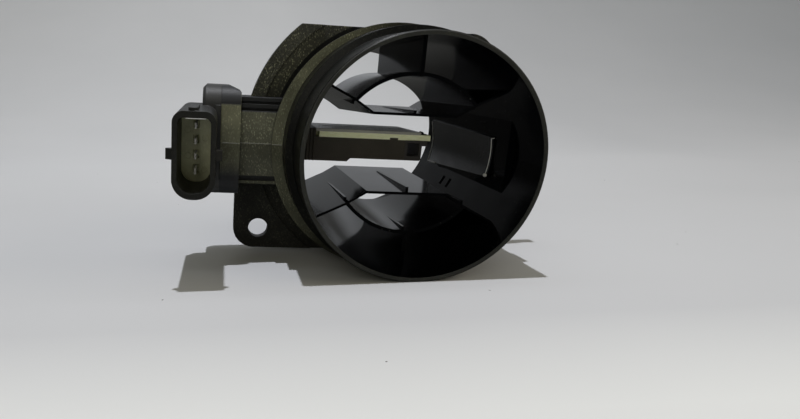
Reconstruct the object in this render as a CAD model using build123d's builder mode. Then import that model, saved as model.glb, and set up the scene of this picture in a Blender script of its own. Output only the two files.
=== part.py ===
# Plug-in mass air flow sensor in a round moulded duct.
#
# Frame, in millimetres: the duct's axis is Y, and air flows along it. The open spigot points to
# -Y, the sensor plugs in from -X, and +Z is up. The origin is on the duct's axis, at the
# flange's back face, which bolts to the air cleaner.
from build123d import *
from math import cos, radians, sin
import os

os.makedirs("parts", exist_ok=True)

# ------------------------------------------------------------------ duct
spigot_d = 80.0  # hose seat
spigot_wall = 1.6
front_length = 47.0  # rim to the flange's back face
rear_length = 53.0
bore_rear_d = 72.0
hose_seat_length = 17.0
barrel_step = 1.6  # the barrel behind the hose seat is this much larger in radius
shoulder_step = 0.8  # and the shoulder in front of the collar is larger again
collar_y = -20.6  # the collar's front face
collar_r = 43.4
collar_x = -3.0  # the collar's centre, shifted towards the sensor
collar_flat = 41.5  # the collar is cut flat this far below the axis
rear_wall = 2.2
rear_barrel_step = 0.2  # the barrel behind the flange is this much smaller in radius
rim_chamfer = 0.5

# flange with two ears across one diagonal
flange_t = 4.0
flange_r = 55.6  # on the sensor's side
flange_far_r = 52.7  # on the far side
flange_far_corner = 10.0
flange_band = 0.7  # the plate's least width, where its flats pass above and below the barrel
ear_reach = 58.3  # from the axis to the lower ear's outer edge
ear_height = 28.4
ear_inset = 20.0  # how far in the ear's block starts from the axis
ear_corner = 8.0
ear_hole = (-48.7, -34.6)
far_ear_r = 8.2
far_hole = (48.0, 17.0)
hole_d = 7.6
recess_d = 101.2  # shallow ring sunk in the flange's front face
recess_depth = 0.8

# seal groove behind the flange
seal_section = 3.6
seal_lip = 2.4  # axial thickness of each lip
seal_lip_height = 2.6
seal_start = 0.6  # from the neck's back to the first lip

# neck and boss plate for the sensor
neck_front, neck_back = -19.0, 6.0
neck_bottom, neck_top = -14.2, 15.6
ledge_height, ledge_gap = 1.1, 1.8  # ledge along the foot of the front face, under a groove
neck_face_top = 11.4  # the front face ends here, and the ridges start
neck_face_t = 1.6
neck_end = -57.4  # x, where the boss plate starts
ridge_height = 1.4
ridge_gap = 1.0
boss_t = 6.8
plate_front, plate_back = -21.0, 6.0
plate_bottom, plate_top = -18.6, 19.4
plate_corner = 6.0
boss_chamfer_x, boss_chamfer_z = 4.3, 1.9

# flat land on the wall across from the neck, and a raised pad on it
land_front, land_back = -28.0, 42.0
land_depth = 2.2  # from the wall's deepest line to the land
land_half_height = 12.8
pad_height = 2.9  # above the wall
pad_front = -17.7
pad_back_top, pad_back_bottom = 41.2, 37.6
pad_front_z = (-8.8, 5.8)  # lower and upper edges at the front
pad_back_z = (-11.9, 7.0)  # and at the back
pad_corner = 1.5
stop_height = 0.5  # two short ribs beside the pad
stop_t = 0.7
stop_pitch = 6.6
stop_first = 13.2
stop_angles = (-31.0, -25.0)

# ------------------------------------------------------------------ flow guide
guide_front, guide_back = -32.3, 22.4
# for each half, upper first: the plate's inner face and its thickness at the front and the back
plate_inner = ((13.1, 10.9), (12.7, 13.1))
plate_t = ((0.9, 2.3), (0.9, 1.6))
plate_half = (14.2, 15.0)  # half width of the flat part, at the front and the back
joint_x = (20.8, 20.0)  # where a vane meets its hoop
joint_rise = (4.2, 3.2)  # of that joint above the flat part
vane_angle = 26.0  # of the vane's outer part
hoop_r = ((26.8, 25.9), (26.8, 28.1))
hoop_t = 1.2
guide_gap = 0.1  # to the duct's wall
middle_x = 0.7  # the middle vanes and fins stand this far from the axis
middle_t = 1.3
fin_t = 0.9
fin_height = 1.3
fin_front = -29.5
plate_fin_back = 10.0
hoop_fin_back = -9.0
joint_fin_back = 4.0

# ------------------------------------------------------------------ sensor module
joint_gap = 0.1  # between the barrel and what is moulded round it
plug_gap = 0.15
plug_wall = 1.85  # the neck's front and back walls
plug_half_height = 8.0
plug_corner = 1.6
cap_t = 6.4
rib_w, rib_proud = 1.9, 0.8
rib_half_height = 13.0
module_seal_w = 2.6
module_seal_depth = 1.8
module_seal_x = 3.2  # from the cap plate to the groove

beam_front, beam_back = -17.0, 4.0
beam_bottom = -5.2
beam_step = 1.2  # the underside rises by this
beam_step_x = -18.6
beam_end = 2.4
beam_rib_x = (-33.4, -32.2, -31.0)
beam_rib_t = 0.5
beam_rib_proud = 0.35
pocket_x0, pocket_x1 = -27.0, -7.0
pocket_depth = 3.0
pocket_rim = 3.0

board_z = 3.3  # underside
board_t = 2.0
board_start = -62.0
board_wide_start = -29.2
board_inset = 3.2  # each side, where the board runs inside the plug
board_end = 11.7
tongue_width = 8.4
tongue_step = 0.4  # its front edge is this far behind the board's
notch_x0, notch_x1 = -3.4, -0.4
notch_depth, notch_height = 0.7, 0.7

cover_t = 1.0
cover_start, cover_end = -30.4, 6.6
cover_skew = 1.4  # the free end runs this much further at the front
cover_slot_x, cover_slot_y = -25.4, -6.0
cover_slot_l, cover_slot_w = 2.6, 1.6
cover_groove_l, cover_groove_w, cover_groove_depth = 30.0, 1.2, 0.35

tip_end = 8.7
tip_wall = 1.0
tip_bottom = -4.0
channel_bottom = -2.4
channel_top = 2.4
bracket_l, bracket_w, bracket_h = 1.9, 4.0, 1.9

chip_size, chip_t = 2.4, 0.6
chip_y = -8.0
control_size, control_t = 6.4, 1.3
control_x = -20.0
capacitor_l, capacitor_w, capacitor_t = 2.0, 1.3, 1.1
capacitor_x = -11.4
capacitor_pitch = 4.2
gel_t = 2.0
gel_margin = 0.8
bead_r = 0.5
bead_l = 2.4
bead_x = 9.4

# connector shell, opening to -Y
shell_x, shell_z = -72.0, -0.8
shell_w, shell_h = 13.2, 26.8
shell_wall_side, shell_wall_end = 1.6, 2.0
shell_corner = 6.1
shell_top_corner = 3.5
shell_mouth = -48.0
shell_floor = -29.5
shell_root = -4.0
root_chamfer = 2.8
lug_w, lug_h, lug_l = 2.0, 3.3, 3.8  # proud of the side, and its base along Y
lug_crest = 0.8
lug_y = -45.2
lug_rise = 0.2
key_w, key_h, key_l = 2.8, 1.0, 15.0
carrier_t = 4.6
carrier_gap = 0.1
terminal_pitch = 4.9
terminal_mid_z = -0.2
terminal_count = 4
blade_t, blade_w = 0.7, 1.9
blade_length = 6.0  # past the floor
slot_t, slot_w, slot_depth = 1.9, 2.7, 1.6
lead_pitch = 2.0  # between the leads on the board
lead_first = -12.2
lead_riser_x = -67.0
lead_t = 0.7
lead_w = 1.1
lead_end = -58.4

# module screws
screw_d = 4.0
screw_head_d = 7.4
screw_head_t = 2.6
screw_length = 10.8
screw_y = 0.6
screw_z = 12.6
screw_drive_d = 3.4
screw_drive_depth = 1.4

# ------------------------------------------------------------------ sizes that follow
spigot_r = spigot_d / 2
bore_front_r = spigot_r - spigot_wall
bore_rear_r = bore_rear_d / 2
rim_y = -front_length
duct_length = front_length + rear_length
barrel_r = spigot_r + barrel_step
rear_barrel_r = barrel_r - rear_barrel_step
flange_height = 2 * (barrel_r + joint_gap + flange_band)
plate_height, plate_mid = plate_top - plate_bottom, (plate_top + plate_bottom) / 2
rear_r = bore_rear_r + rear_wall
seal_floor_r = barrel_r - seal_lip_height
seal_y = neck_back + seal_start + seal_lip  # front of the seal
seal_end = seal_y + seal_section + seal_lip
boss_end = neck_end - boss_t  # seat of the cap plate
cap_end = boss_end - cap_t
plug_front = neck_front + plug_wall + plug_gap
plug_back = neck_back - plug_wall - plug_gap
plug_y = (plug_front + plug_back) / 2
plug_l, plug_h = plug_back - plug_front, 2 * plug_half_height
board_top = board_z + board_t
cover_top = board_top + cover_t
cavity_w = shell_w - 2 * shell_wall_side
cavity_h = shell_h - 2 * shell_wall_end
cavity_corner = shell_corner - shell_wall_side
cavity_top_corner = shell_top_corner - shell_wall_side
terminal_z = [terminal_mid_z + terminal_pitch * (k - (terminal_count - 1) / 2) for k in range(terminal_count)]
lead_y = [lead_first + lead_pitch * k for k in range(terminal_count)]


def bore_r(y):
    """Radius of the duct's bore, which narrows evenly from the rim to the rear end."""
    return bore_front_r + (bore_rear_r - bore_front_r) * (y - rim_y) / duct_length


def bore_cone(grow, start=rim_y, end=rear_length):
    """The space of the bore, larger by grow in radius, as a private solid."""
    with BuildPart(mode=Mode.PRIVATE) as cone:
        with BuildSketch(Plane.XY):
            with BuildLine():
                Polyline(
                    (0, start),
                    (bore_r(start) + grow, start),
                    (bore_r(end) + grow, end),
                    (0, end),
                    close=True,
                )
            make_face()
        revolve(axis=Axis.Y)
    return cone.part


def wall_strip(height, start, end, low_angle, high_angle):
    """A strip raised from the bore's wall on the +X side, between two angles up from the X axis."""
    foot = 0.4  # into the wall, so that it joins
    with BuildPart(mode=Mode.PRIVATE) as strip:
        with BuildSketch(Plane.XY.rotated((0, -low_angle, 0))):
            with BuildLine():
                Polyline(
                    (bore_r(start) + foot, start),
                    (bore_r(start) - height, start),
                    (bore_r(end) - height, end),
                    (bore_r(end) + foot, end),
                    close=True,
                )
            make_face()
        revolve(axis=Axis.Y, revolution_arc=-(high_angle - low_angle))
    return strip.part


def wall_land(depth, start, end, half_height):
    """A flat land across the bore's wall on the +X side, parallel to the wall's slope."""
    foot = 0.4
    with BuildPart(mode=Mode.PRIVATE) as land:
        with BuildSketch(Plane.XY.offset(-half_height)):
            with BuildLine():
                Polyline(
                    (bore_r(start) + foot, start),
                    (bore_r(start) - depth, start),
                    (bore_r(end) - depth, end),
                    (bore_r(end) + foot, end),
                    close=True,
                )
            make_face()
        extrude(amount=2 * half_height)
        add(bore_cone(foot), mode=Mode.INTERSECT)
    return land.part


def wall_pad():
    """The raised pad: its face follows the wall, and its edges are straight seen from the sensor."""
    foot = 0.4
    with BuildPart(mode=Mode.PRIVATE) as pad:
        with BuildSketch(Plane.YZ.offset(spigot_r / 2)) as outline:
            with BuildLine():
                Polyline(
                    (pad_front, pad_front_z[0]),
                    (pad_back_bottom, pad_back_z[0]),
                    (pad_back_top, pad_back_z[1]),
                    (pad_front, pad_front_z[1]),
                    close=True,
                )
            make_face()
            fillet(outline.vertices(), radius=pad_corner)
        extrude(amount=spigot_r)
        add(bore_cone(foot), mode=Mode.INTERSECT)
        add(bore_cone(-pad_height), mode=Mode.SUBTRACT)
    return pad.part


def shell_outline(width, height, corner, top_corner):
    """The connector's outline: wide round corners below, smaller ones above."""
    with BuildSketch(mode=Mode.PRIVATE) as outline:
        Rectangle(width, height)
        fillet(outline.vertices().sort_by(Axis.Y)[:2], radius=corner)
        fillet(outline.vertices().sort_by(Axis.Y)[-2:], radius=top_corner)
    return outline.sketch


def side_plane(x):
    """A plane across the sensor's axis at x: its own X is the duct's Y, and its own Y is Z."""
    return Plane(origin=(x, 0, 0), x_dir=(0, 1, 0), z_dir=(1, 0, 0))


# ------------------------------------------------------------------ duct housing
with BuildPart() as duct_housing:
    # turned form: spigot, stepped barrel, and rear spigot with its seal groove
    with BuildSketch(Plane.XY):
        with BuildLine():
            Polyline(
                (0, rim_y),
                (spigot_r - rim_chamfer, rim_y),
                (spigot_r, rim_y + rim_chamfer),
                (spigot_r, rim_y + hose_seat_length),
                (barrel_r + shoulder_step, rim_y + hose_seat_length + barrel_step / 2),
                (barrel_r + shoulder_step, neck_front),
                (barrel_r, neck_front),
                (barrel_r, -flange_t / 2),
                (rear_barrel_r, -flange_t / 2),
                (rear_barrel_r, seal_y),
                (seal_floor_r, seal_y),
                (seal_floor_r, seal_y + seal_section),
                (rear_barrel_r, seal_y + seal_section),
                (rear_barrel_r, seal_end - barrel_step),
                (seal_floor_r + barrel_step / 2, seal_end),
                (rear_r, rear_length - rim_chamfer),
                (rear_r - rim_chamfer, rear_length),
                (0, rear_length),
                close=True,
            )
        make_face()
    revolve(axis=Axis.Y)
    # collar that stops the hose, widest on the sensor's side
    with BuildSketch(Plane.XZ.offset(-neck_front)):
        with Locations((collar_x, 0)):
            Circle(collar_r)
        with Locations((0, -collar_flat - spigot_r)):
            Rectangle(2 * spigot_d, spigot_d, mode=Mode.SUBTRACT)
    extrude(amount=neck_front - collar_y)
    add(bore_cone(0), mode=Mode.SUBTRACT)
    # hole in the wall for the sensor's plug
    with BuildSketch(side_plane(-spigot_r / 2)):
        with Locations((plug_y, 0)):
            RectangleRounded(plug_l + 2 * plug_gap, plug_h + 2 * plug_gap, plug_corner + plug_gap)
    extrude(amount=-spigot_r, mode=Mode.SUBTRACT)
    # raised pad on its flat land, and two short ribs below it
    add(wall_land(land_depth, land_front, land_back, land_half_height))
    add(wall_pad())
    for k in range(2):
        stop_y = stop_first + stop_pitch * k
        add(wall_strip(stop_height, stop_y, stop_y + stop_t, *stop_angles))
duct_housing.part.label = "duct_housing"
export_step(duct_housing.part, "parts/duct_housing.step")

# ------------------------------------------------------------------ mounting flange
neck_height = neck_top - neck_bottom
with BuildPart() as mounting_flange:
    # plate with two flats, smaller on the far side, with one square ear and one round ear
    with BuildSketch(Plane.XZ) as outline:
        Circle(flange_far_r)
        Rectangle(2 * flange_r, flange_height, mode=Mode.INTERSECT)
        fillet(outline.vertices().sort_by(Axis.X)[-2:], radius=flange_far_corner)
        with BuildSketch(mode=Mode.PRIVATE) as near_half:
            Circle(flange_r)
            Rectangle(2 * flange_r, flange_height, mode=Mode.INTERSECT)
            with Locations((flange_r, 0)):
                Rectangle(2 * flange_r, 2 * flange_r, mode=Mode.SUBTRACT)
        add(near_half.sketch)
        ear_length = ear_reach - ear_inset
        with Locations((-ear_inset - ear_length / 2, (ear_height - flange_height) / 2)):
            RectangleRounded(ear_length, ear_height, ear_corner)
        with Locations(far_hole):
            Circle(far_ear_r)
        with Locations(ear_hole, far_hole):
            Circle(hole_d / 2, mode=Mode.SUBTRACT)
        Circle(barrel_r + joint_gap, mode=Mode.SUBTRACT)
        with Locations((-spigot_d, (neck_bottom + neck_top) / 2)):
            Rectangle(2 * spigot_d, neck_height, mode=Mode.SUBTRACT)
        with Locations((neck_end - spigot_r / 2, plate_mid)):
            Rectangle(spigot_r, plate_height, mode=Mode.SUBTRACT)
    extrude(amount=flange_t)
    with BuildSketch(Plane.XZ.offset(flange_t)):
        Circle(recess_d / 2)
    extrude(amount=-recess_depth, mode=Mode.SUBTRACT)
mounting_flange.part.label = "mounting_flange"
export_step(mounting_flange.part, "parts/mounting_flange.step")

# ------------------------------------------------------------------ sensor neck
with BuildPart() as sensor_neck:
    # a block from the barrel to the boss plate, with two ridges above its front face
    neck_depth = neck_back - neck_front - neck_face_t
    with BuildSketch(side_plane(neck_end)):
        with Locations((neck_back - neck_depth / 2, (neck_bottom + neck_top) / 2)):
            Rectangle(neck_depth, neck_height)
        face_bottom = neck_bottom + ledge_height + ledge_gap
        with Locations((neck_front + neck_face_t / 2, (face_bottom + neck_face_top) / 2)):
            Rectangle(neck_face_t, neck_face_top - face_bottom)
        with Locations((neck_front + neck_face_t / 2 + 0.1, neck_bottom + ledge_height / 2)):
            Rectangle(neck_face_t - 0.2, ledge_height)
        ridge_z = (neck_face_top + ridge_gap + ridge_height / 2, neck_top + (ridge_gap - ridge_height) / 2)
        for z in ridge_z:
            with Locations((neck_front + neck_face_t / 2 + 0.1, z)):
                Rectangle(neck_face_t - 0.2, ridge_height)
    extrude(amount=-neck_end - spigot_r / 2)
    with BuildSketch(Plane.XZ.offset(-neck_back)):
        Circle(barrel_r + joint_gap)
    extrude(amount=neck_back - neck_front, mode=Mode.SUBTRACT)
    # boss plate, sloped at its top towards the neck
    with BuildSketch(side_plane(neck_end)):
        with Locations(((plate_front + plate_back) / 2, plate_mid)):
            RectangleRounded(plate_back - plate_front, plate_height, plate_corner)
    extrude(amount=-boss_t)
    with BuildSketch(Plane.XZ.offset(-plate_back)):
        with BuildLine():
            Polyline(
                (neck_end, plate_top),
                (neck_end - boss_chamfer_x, plate_top),
                (neck_end, plate_top - boss_chamfer_z),
                close=True,
            )
        make_face()
    extrude(amount=plate_back - plate_front, mode=Mode.SUBTRACT)
    # the plug's hole, and pilot holes for the module's screws
    with BuildSketch(side_plane(boss_end)):
        with Locations((plug_y, 0)):
            RectangleRounded(plug_l + 2 * plug_gap, plug_h + 2 * plug_gap, plug_corner + plug_gap)
    extrude(amount=-boss_end - spigot_r / 2, mode=Mode.SUBTRACT)
    with Locations(side_plane(boss_end)):
        with Locations((screw_y, screw_z), (screw_y, -screw_z)):
            Cylinder(
                screw_d / 2,
                screw_length - (cap_t - screw_head_t) + 0.2,
                align=(Align.CENTER, Align.CENTER, Align.MIN),
                mode=Mode.SUBTRACT,
            )
sensor_neck.part.label = "sensor_neck"
export_step(sensor_neck.part, "parts/sensor_neck.step")

# ------------------------------------------------------------------ flow guide
vane_tail = 2 * spigot_r
guide_length = guide_back - guide_front


def plate_line(half, end, shift):
    """One face of a plate with its vanes, from the left, for an upper half: end is 0 at the front."""
    x, bend, z = joint_x[end], plate_half[end], plate_inner[half][end] + shift
    far_x = x + vane_tail * cos(radians(vane_angle))
    far_z = z + joint_rise[end] + vane_tail * sin(radians(vane_angle))
    right = [(bend, z), (x, z + joint_rise[end]), (far_x, far_z)]
    return [(-a, b) for a, b in reversed(right)] + right


def guide_loft(half, side, shifts):
    """The space between two faces, from the front to the back, as a private solid."""
    with BuildPart(mode=Mode.PRIVATE) as body:
        for end, y in ((0, guide_front), (1, guide_back)):
            near = plate_line(half, end, shifts[end][0])
            far = plate_line(half, end, shifts[end][1])
            with BuildSketch(Plane.XZ.offset(-y)):
                with BuildLine():
                    Polyline(*[(a, side * b) for a, b in near + far[::-1]], close=True)
                make_face()
        loft(ruled=True)
    return body.part


def flow_guide(half, side):
    """One half of the guide: side is 1 for the upper half and -1 for the lower."""
    front_r, back_r = hoop_r[half]
    fin_rise = plate_t[half][0] / 2 if side > 0 else 0
    fins = [(middle_x, side * plate_inner[half][0] + fin_rise, 1, plate_fin_back)]
    if side < 0:
        fins.append((middle_x, -front_r, 1, hoop_fin_back))
    for x in (-joint_x[0], joint_x[0]):
        fins.append((x, side * (plate_inner[half][0] + joint_rise[0]), -side, joint_fin_back))
    with BuildPart() as guide:
        # hoop: a slightly tapering arc, run past the vanes and trimmed below
        with BuildSketch(Plane.XY.rotated((0, -25 * side, 0))):
            with BuildLine():
                Polyline(
                    (front_r - hoop_t / 2, guide_front),
                    (front_r + hoop_t / 2, guide_front),
                    (back_r + hoop_t / 2, guide_back),
                    (back_r - hoop_t / 2, guide_back),
                    close=True,
                )
            make_face()
        revolve(axis=Axis.Y, revolution_arc=-130 * side)
        # vertical vane from the hoop to the wall
        with BuildSketch(Plane.XZ.offset(-guide_back)):
            with Locations((middle_x, side * (back_r + spigot_r) / 2)):
                Rectangle(middle_t, spigot_r - back_r)
        extrude(amount=guide_length)
        # everything nearer the sensor than the plate goes, then the plate itself is added
        add(guide_loft(half, side, ((-spigot_r, 0), (-spigot_r, 0))), mode=Mode.SUBTRACT)
        add(guide_loft(half, side, ((0, plate_t[half][0]), (0, plate_t[half][1]))))
        # wedge fins, highest at the front
        for x, foot_z, rise, fin_back in fins:
            foot = -rise * 0.4
            with BuildSketch(Plane.YZ.offset(x - fin_t / 2)):
                with BuildLine():
                    Polyline(
                        (fin_front, foot_z + foot),
                        (fin_front, foot_z + rise * fin_height),
                        (fin_back, foot_z),
                        (fin_back, foot_z + foot),
                        close=True,
                    )
                make_face()
            extrude(amount=fin_t)
        add(bore_cone(-guide_gap, guide_front, guide_back), mode=Mode.INTERSECT)
    return guide.part


for name, half, side in (("flow_guide_upper", 0, 1), ("flow_guide_lower", 1, -1)):
    guide = flow_guide(half, side)
    guide.label = name
    export_step(guide, f"parts/{name}.step")


# ------------------------------------------------------------------ terminals
def terminal(k):
    """One contact: a blade in the connector, bent over to the side and led to the board."""
    z = terminal_z[k]
    y = lead_y[k]
    tip = shell_floor - blade_length
    pad_z = board_z - lead_t / 2
    with BuildPart() as contact:
        with Locations((shell_x, (tip + y) / 2, z)):
            Box(blade_t, y - tip + lead_w, blade_w)
        chamfer(contact.faces().sort_by(Axis.Y)[0].edges(), length=blade_t * 0.4)
        with Locations(((shell_x + lead_riser_x) / 2, y, z)):
            Box(lead_riser_x - shell_x, lead_w, lead_t)
        riser_top = max(z, pad_z) + lead_t / 2
        riser_bottom = min(z, pad_z) - lead_t / 2
        with Locations((lead_riser_x, y, (riser_top + riser_bottom) / 2)):
            Box(lead_t, lead_w, riser_top - riser_bottom)
        with Locations(((lead_riser_x + lead_end) / 2, y, pad_z)):
            Box(lead_end - lead_riser_x, lead_w, lead_t)
    return contact.part


terminals = [terminal(k) for k in range(terminal_count)]
for k, contact in enumerate(terminals, start=1):
    contact.label = f"terminal_{k}"
    export_step(contact, f"parts/terminal_{k}.step")

# ------------------------------------------------------------------ terminal carrier
with BuildPart() as terminal_carrier:
    with BuildSketch(Plane.XZ.offset(-(shell_floor + carrier_t))):
        with Locations((shell_x, shell_z)):
            add(
                shell_outline(
                    cavity_w - 2 * carrier_gap,
                    cavity_h - 2 * carrier_gap,
                    cavity_corner - carrier_gap,
                    cavity_top_corner - carrier_gap,
                )
            )
    extrude(amount=carrier_t)
    with BuildSketch(Plane.XZ.offset(-shell_floor)):
        with Locations(*[(shell_x, z) for z in terminal_z]):
            Rectangle(slot_t, slot_w)
    extrude(amount=-slot_depth, mode=Mode.SUBTRACT)
    for contact in terminals:
        add(contact, mode=Mode.SUBTRACT)
terminal_carrier.part.label = "terminal_carrier"
export_step(terminal_carrier.part, "parts/terminal_carrier.step")


# ------------------------------------------------------------------ circuit board
with BuildPart() as circuit_board:
    with BuildSketch(Plane.XY.offset(board_z)):
        wide_l = beam_end - board_wide_start
        with Locations(((beam_end + board_wide_start) / 2, (beam_front + beam_back) / 2)):
            Rectangle(wide_l, beam_back - beam_front)
        with Locations(((board_start + board_wide_start) / 2, (beam_front + beam_back) / 2)):
            Rectangle(board_wide_start - board_start, beam_back - beam_front - 2 * board_inset)
        with Locations(((board_end + beam_end) / 2, beam_front + (tongue_step + tongue_width) / 2)):
            Rectangle(board_end - beam_end, tongue_width - tongue_step)
    extrude(amount=board_t)
    with Locations(((notch_x0 + notch_x1) / 2, beam_front + notch_depth / 2, board_z + notch_height / 2)):
        Box(notch_x1 - notch_x0, notch_depth, notch_height, mode=Mode.SUBTRACT)
circuit_board.part.label = "circuit_board"
export_step(circuit_board.part, "parts/circuit_board.step")

# ------------------------------------------------------------------ module housing
beam_y = (beam_front + beam_back) / 2
with BuildPart() as module_housing:
    # cap plate
    with BuildSketch(side_plane(boss_end)):
        with Locations(((plate_front + plate_back) / 2, plate_mid)):
            RectangleRounded(plate_back - plate_front, plate_height, plate_corner)
    extrude(amount=-cap_t)
    chamfer(module_housing.faces().sort_by(Axis.X)[0].edges(), length=1.0)
    # plug, ending flush with the bore
    with BuildSketch(side_plane(boss_end)):
        with Locations((plug_y, 0)):
            RectangleRounded(plug_l, plug_h, plug_corner)
    extrude(amount=-boss_end - spigot_r / 2)
    add(bore_cone(plug_gap), mode=Mode.SUBTRACT)
    # beam that carries the board, with its step underneath and its pocket on top
    with BuildSketch(Plane.XZ.offset(-beam_back)):
        with BuildLine():
            Polyline(
                (-bore_front_r - spigot_wall, beam_bottom),
                (beam_step_x, beam_bottom),
                (beam_step_x + beam_step, beam_bottom + beam_step),
                (beam_end, beam_bottom + beam_step),
                (beam_end, board_z),
                (-bore_front_r - spigot_wall, board_z),
                close=True,
            )
        make_face()
    extrude(amount=beam_back - beam_front)
    for x in beam_rib_x:
        with Locations((x, beam_y, (beam_bottom + cover_top) / 2)):
            Box(beam_rib_t, beam_back - beam_front + 2 * beam_rib_proud, cover_top - beam_bottom)
    # collar at the beam's root, over the narrow part of the board
    root_x0 = -bore_front_r - spigot_wall
    with Locations(((root_x0 + cover_start) / 2, beam_y, (board_z + cover_top) / 2)):
        Box(cover_start - root_x0, beam_back - beam_front, cover_top - board_z)
    with Locations(((pocket_x0 + pocket_x1) / 2, beam_y, board_z - pocket_depth / 2)):
        Box(
            pocket_x1 - pocket_x0,
            beam_back - beam_front - 2 * pocket_rim,
            pocket_depth,
            mode=Mode.SUBTRACT,
        )
    with Locations(((notch_x0 + notch_x1) / 2, beam_front + notch_depth / 2, board_z + notch_height / 2)):
        Box(notch_x1 - notch_x0, notch_depth, notch_height)
    # groove for the module's seal
    with BuildSketch(side_plane(boss_end + module_seal_x)):
        with Locations((plug_y, 0)):
            RectangleRounded(plug_l + 1, plug_h + 1, plug_corner)
            RectangleRounded(
                plug_l - 2 * module_seal_depth,
                plug_h - 2 * module_seal_depth,
                plug_corner - module_seal_depth / 2,
                mode=Mode.SUBTRACT,
            )
    extrude(amount=module_seal_w, mode=Mode.SUBTRACT)
    # connector shell and its root, which merges with the cap plate
    with BuildSketch(Plane.XZ.offset(-shell_root)):
        with Locations((shell_x, shell_z)):
            add(shell_outline(shell_w, shell_h, shell_corner, shell_top_corner))
    extrude(amount=shell_root - shell_mouth)
    root_edges = module_housing.edges().filter_by_position(Axis.Y, shell_root - 0.01, shell_root + 0.01)
    chamfer(root_edges.filter_by_position(Axis.X, shell_x - shell_w, shell_x - 1), length=root_chamfer)
    with BuildSketch(Plane.XZ.offset(-(shell_floor + carrier_t))):
        with Locations((shell_x, shell_z)):
            add(shell_outline(cavity_w, cavity_h, cavity_corner, cavity_top_corner))
    extrude(amount=shell_floor + carrier_t - shell_mouth, mode=Mode.SUBTRACT)
    # latch lugs on both sides and keying rib on top
    for side in (-1, 1):
        base_x = shell_x + side * (shell_w / 2 - 0.5)
        crest_x = shell_x + side * (shell_w / 2 + lug_w)
        with BuildSketch(Plane.XY.offset(shell_z + lug_rise - lug_h / 2)):
            with BuildLine():
                Polyline(
                    (base_x, lug_y - lug_l / 2),
                    (crest_x, lug_y - lug_crest / 2),
                    (crest_x, lug_y + lug_crest / 2),
                    (base_x, lug_y + lug_l / 2),
                    close=True,
                )
            make_face()
        extrude(amount=lug_h)
    with Locations((shell_x - 0.4, shell_mouth + 1 + key_l / 2, shell_z + shell_h / 2 + key_h / 2 - 0.5)):
        Box(key_w, key_l, key_h + 1)
    # rib on the cap plate's front
    with Locations((boss_end - rib_w / 2 - 0.1, plate_front - rib_proud / 2 + 0.2, 0)):
        Box(rib_w, rib_proud + 0.4, 2 * rib_half_height)
    # screw holes with sunk heads
    with Locations(side_plane(cap_end)):
        with Locations((screw_y, screw_z), (screw_y, -screw_z)):
            Cylinder(
                screw_d / 2,
                cap_t + 1,
                align=(Align.CENTER, Align.CENTER, Align.MIN),
                mode=Mode.SUBTRACT,
            )
            Cylinder(
                screw_head_d / 2,
                screw_head_t,
                align=(Align.CENTER, Align.CENTER, Align.MIN),
                mode=Mode.SUBTRACT,
            )
    add(circuit_board.part, mode=Mode.SUBTRACT)
    for contact in terminals:
        add(contact, mode=Mode.SUBTRACT)
module_housing.part.label = "module_housing"
export_step(module_housing.part, "parts/module_housing.step")

# ------------------------------------------------------------------ board cover
with BuildPart() as board_cover:
    with BuildSketch(Plane.XY.offset(board_top)):
        with BuildLine():
            Polyline(
                (cover_start, beam_front),
                (cover_end + cover_skew, beam_front),
                (cover_end - cover_skew, beam_back),
                (cover_start, beam_back),
                close=True,
            )
        make_face()
        with Locations((cover_slot_x, cover_slot_y)):
            SlotOverall(cover_slot_l, cover_slot_w, mode=Mode.SUBTRACT)
    extrude(amount=cover_t)
    with BuildSketch(Plane.XY.offset(cover_top)):
        with Locations(((cover_start + cover_end) / 2 + cover_skew, cover_slot_y)):
            SlotOverall(cover_groove_l, cover_groove_w)
    extrude(amount=-cover_groove_depth, mode=Mode.SUBTRACT)
board_cover.part.label = "board_cover"
export_step(board_cover.part, "parts/board_cover.step")

# ------------------------------------------------------------------ channel tip
# a short air passage under the board, open at the front and the back
window_x0, window_x1 = beam_end + tip_wall, tip_end - tip_wall
with BuildPart() as channel_tip:
    with BuildSketch(Plane.XZ.offset(-beam_back)):
        with Locations(((beam_end + tip_end) / 2, (tip_bottom + board_z) / 2)):
            Rectangle(tip_end - beam_end, board_z - tip_bottom)
        with Locations(((window_x0 + window_x1) / 2, (channel_bottom + channel_top) / 2)):
            Rectangle(window_x1 - window_x0, channel_top - channel_bottom, mode=Mode.SUBTRACT)
    extrude(amount=beam_back - beam_front)
    chamfer(channel_tip.edges().filter_by(Axis.Y).sort_by(Axis.X)[-2:], length=0.5)
    # opening in the roof for the hot film chip
    with Locations(((window_x0 + window_x1) / 2, chip_y, (channel_top + board_z) / 2)):
        Box(chip_size + 0.6, chip_size + 0.6, board_z - channel_top, mode=Mode.SUBTRACT)
    # small bracket on the end wall
    with Locations((tip_end + bracket_l / 2, beam_front + bracket_w / 2, board_z - bracket_h / 2)):
        Box(bracket_l, bracket_w, bracket_h)
channel_tip.part.label = "channel_tip"
export_step(channel_tip.part, "parts/channel_tip.step")

# ------------------------------------------------------------------ parts on the board
with BuildPart() as hot_film_chip:
    with Locations(((window_x0 + window_x1) / 2, chip_y, board_z - chip_t / 2)):
        Box(chip_size, chip_size, chip_t)
hot_film_chip.part.label = "hot_film_chip"
export_step(hot_film_chip.part, "parts/hot_film_chip.step")

with BuildPart() as air_temperature_sensor:
    with Locations((bead_x, beam_front + tongue_width / 2, board_top + bead_r)):
        Cylinder(bead_r, bead_l, rotation=(90, 0, 0))
    with Locations((bead_x, beam_front + tongue_width / 2, board_top + bead_r / 2)):
        Box(bead_r * 1.2, bead_l + 2.0, bead_r)
air_temperature_sensor.part.label = "air_temperature_sensor"
export_step(air_temperature_sensor.part, "parts/air_temperature_sensor.step")

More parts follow.
